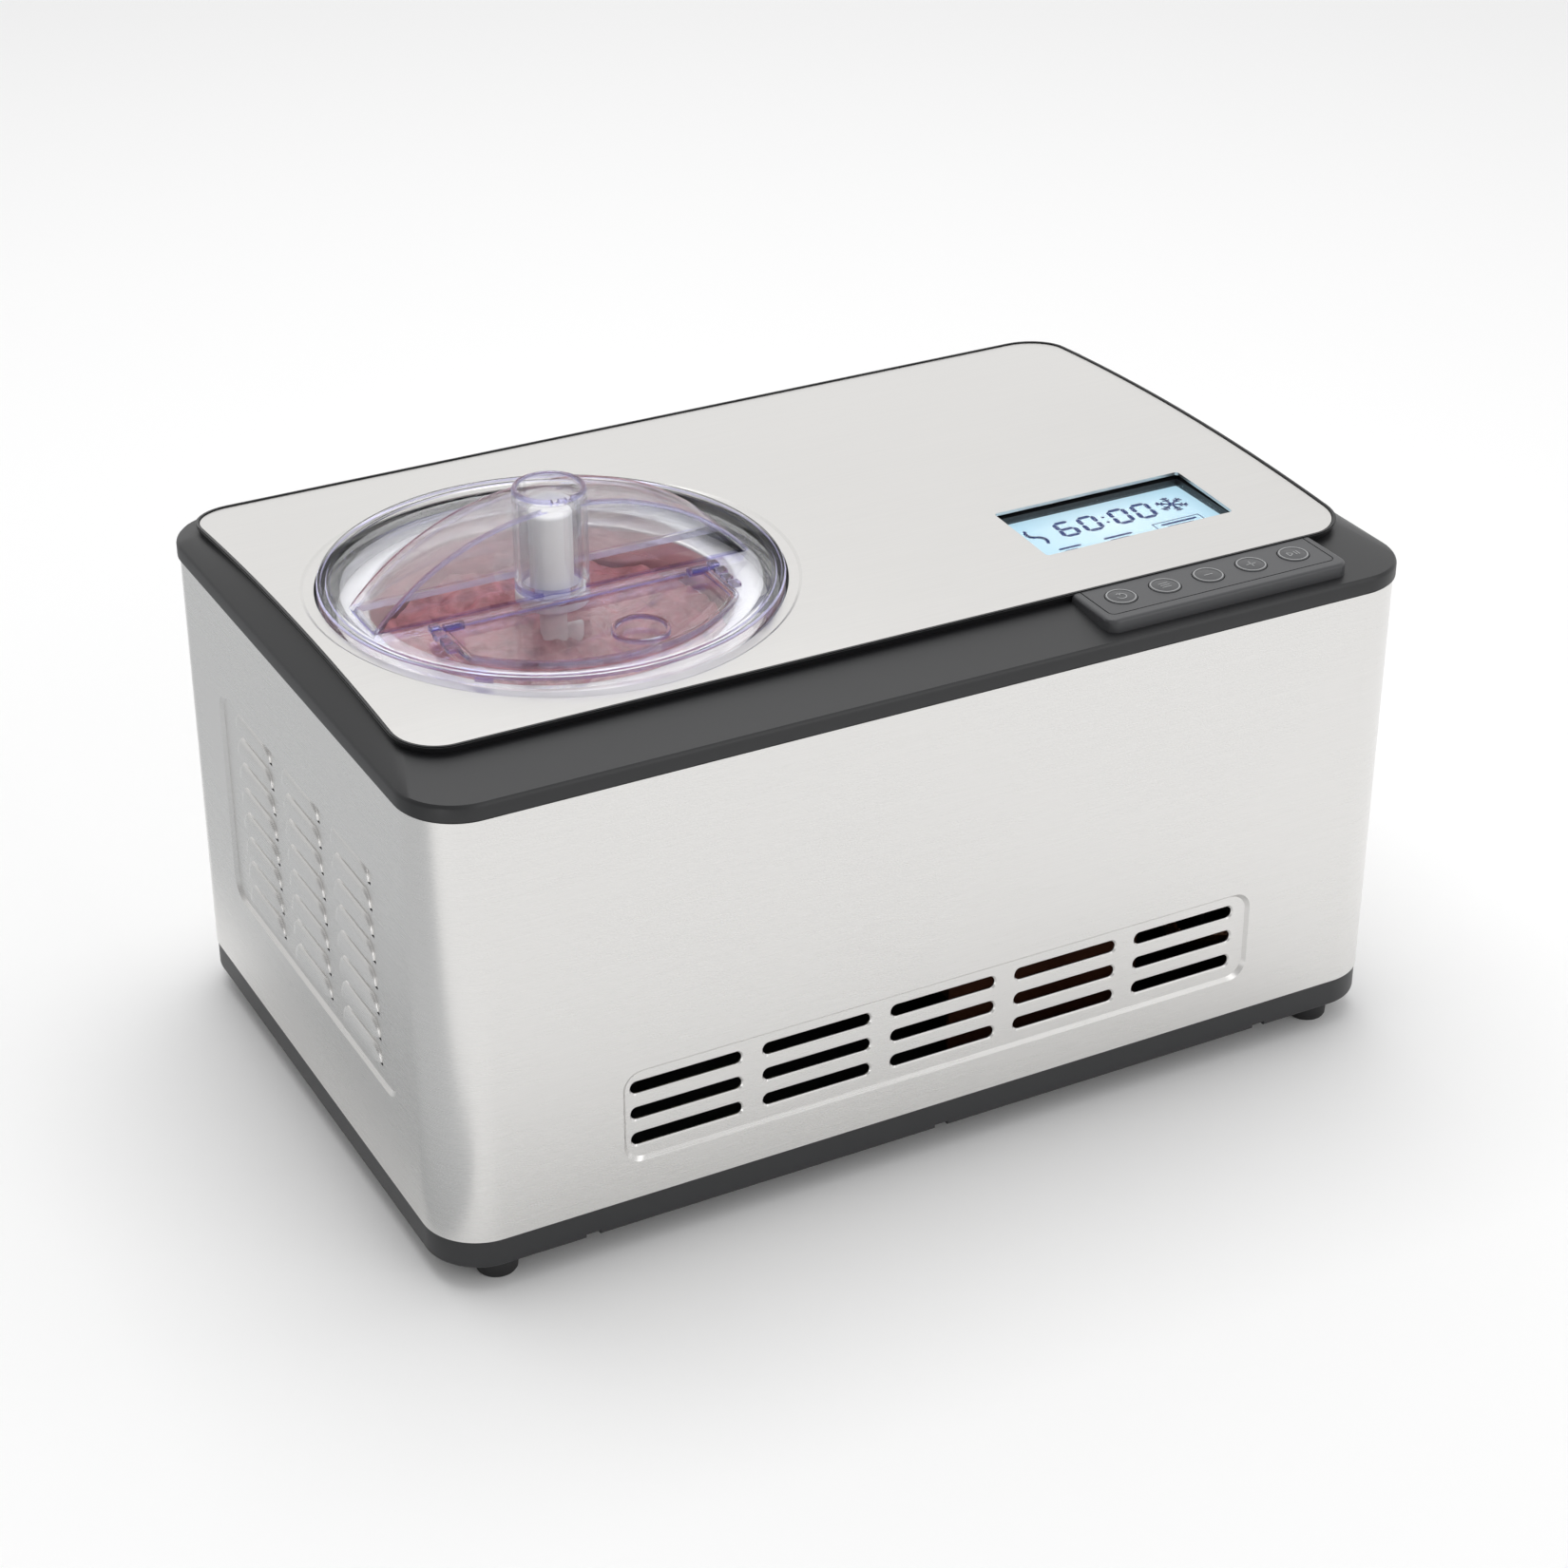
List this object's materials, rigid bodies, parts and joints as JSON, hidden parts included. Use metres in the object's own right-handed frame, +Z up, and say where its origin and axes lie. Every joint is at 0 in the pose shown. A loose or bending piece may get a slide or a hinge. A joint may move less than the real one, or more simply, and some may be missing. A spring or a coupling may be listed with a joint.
{
  "type": "ice cream maker",
  "caption": "Countertop compressor ice cream maker: a steel case with vents and an arched top, a screen and keys, and a lift-out bowl and paddle under a clear lid with a filler hatch.",
  "frame": {"origin": "on the floor under the feet, at the centre of the case in plan", "axes": "+Z up; +X to the right as seen from the front, along the case's width; +Y towards the rear"},
  "size_m": [0.425, 0.27, 0.2561],
  "materials": {
    "steel_wall": "brushed steel sheet with a fine horizontal grain",
    "frame_plastic": "fine-textured charcoal plastic",
    "pad_plastic": "satin grey plastic with pale printed rings",
    "rubber": "matt black rubber",
    "clear_plastic": "clear moulded plastic with a faint violet tint",
    "white_plastic": "off-white moulded plastic",
    "screen": "backlit pale blue screen with dark blue segments",
    "bare_aluminium": "spun or folded bare aluminium",
    "copper": "drawn copper tube",
    "foam": "rigid insulating foam, off-white",
    "black_paint": "semi-matt black",
    "black_enamel": "black painted steel shell",
    "machine_steel": "zinc-plated steel",
    "board": "green circuit board with dark parts"
  },
  "bodies": {
    "case": {"base_tray": "frame_plastic", "capillary_tube": "copper", "compressor": "black_enamel", "compressor_grommet_1": "rubber", "compressor_grommet_2": "rubber", "compressor_grommet_3": "rubber", "compressor_grommet_4": "rubber", "compressor_plate": "machine_steel", "condenser": "bare_aluminium", "control_board": "board", "control_pad": "pad_plastic", "deck": "frame_plastic", "discharge_line": "copper", "drive_motor": "black_enamel", "evaporator_coil": "copper", "fan_frame": "black_paint", "filter_drier": "copper", "foam_insulation": "foam", "foot_front_left": "rubber", "foot_front_right": "rubber", "foot_rear_left": "rubber", "foot_rear_right": "rubber", "freezer_well": "bare_aluminium", "gear_housing": "machine_steel", "liquid_line": "copper", "mains_inlet": "black_paint", "motor_bracket": "machine_steel", "power_board": "board", "screen_bezel": "black_paint", "screen_lens": "clear_plastic", "screen_module": "screen", "shaft_seal": "rubber", "steel_housing": "steel_wall", "suction_line": "copper", "top_frame": "frame_plastic", "top_plate": "steel_wall"},
    "bowl": {"bowl": "bare_aluminium"},
    "paddle": {"paddle": "white_plastic"},
    "lid": {"lid": "clear_plastic"},
    "hatch": {"filler_hatch": "clear_plastic", "hatch_pin_left": "clear_plastic", "hatch_pin_right": "clear_plastic"},
    "drive": {"drive_shaft": "machine_steel"},
    "fan": {"fan_rotor": "black_paint"},
    "key_power": {"key_power": "pad_plastic"},
    "key_menu": {"key_menu": "pad_plastic"},
    "key_minus": {"key_minus": "pad_plastic"},
    "key_plus": {"key_plus": "pad_plastic"},
    "key_start": {"key_start": "pad_plastic"}
  },
  "joints": [
    {"name": "bowl_lift", "type": "slide", "parent": "case", "child": "bowl", "axis": [0, 0, 1], "range_m": [0, 0.16]},
    {"name": "paddle_spin", "type": "hinge", "parent": "bowl", "child": "paddle", "pos_m": [-0.1005, 0, 0.15], "axis": [0, 0, 1], "continuous": true},
    {"name": "drive_spin", "type": "hinge", "parent": "case", "child": "drive", "pos_m": [-0.1005, 0, 0.1], "axis": [0, 0, 1], "continuous": true},
    {"name": "lid_lift", "type": "slide", "parent": "bowl", "child": "lid", "axis": [0, 0, 1], "range_m": [0, 0.15]},
    {"name": "hatch_hinge", "type": "hinge", "parent": "lid", "child": "hatch", "pos_m": [-0.1005, -0.023, 0.2185], "axis": [-1, 0, 0], "range_deg": [0, 90]},
    {"name": "fan_spin", "type": "hinge", "parent": "case", "child": "fan", "pos_m": [0.1495, 0, 0.0728], "axis": [1, 0, 0], "continuous": true},
    {"name": "key_power_press", "type": "slide", "parent": "case", "child": "key_power", "axis": [0, 0, -1], "range_m": [0, 0.0005], "stiffness_N_per_m": 1500},
    {"name": "key_menu_press", "type": "slide", "parent": "case", "child": "key_menu", "axis": [0, 0, -1], "range_m": [0, 0.0005], "stiffness_N_per_m": 1500},
    {"name": "key_minus_press", "type": "slide", "parent": "case", "child": "key_minus", "axis": [0, 0, -1], "range_m": [0, 0.0005], "stiffness_N_per_m": 1500},
    {"name": "key_plus_press", "type": "slide", "parent": "case", "child": "key_plus", "axis": [0, 0, -1], "range_m": [0, 0.0005], "stiffness_N_per_m": 1500},
    {"name": "key_start_press", "type": "slide", "parent": "case", "child": "key_start", "axis": [0, 0, -1], "range_m": [0, 0.0005], "stiffness_N_per_m": 1500}
  ],
  "couplings": [
    {"joint": "drive_spin", "follows": "paddle_spin", "ratio": 1}
  ]
}
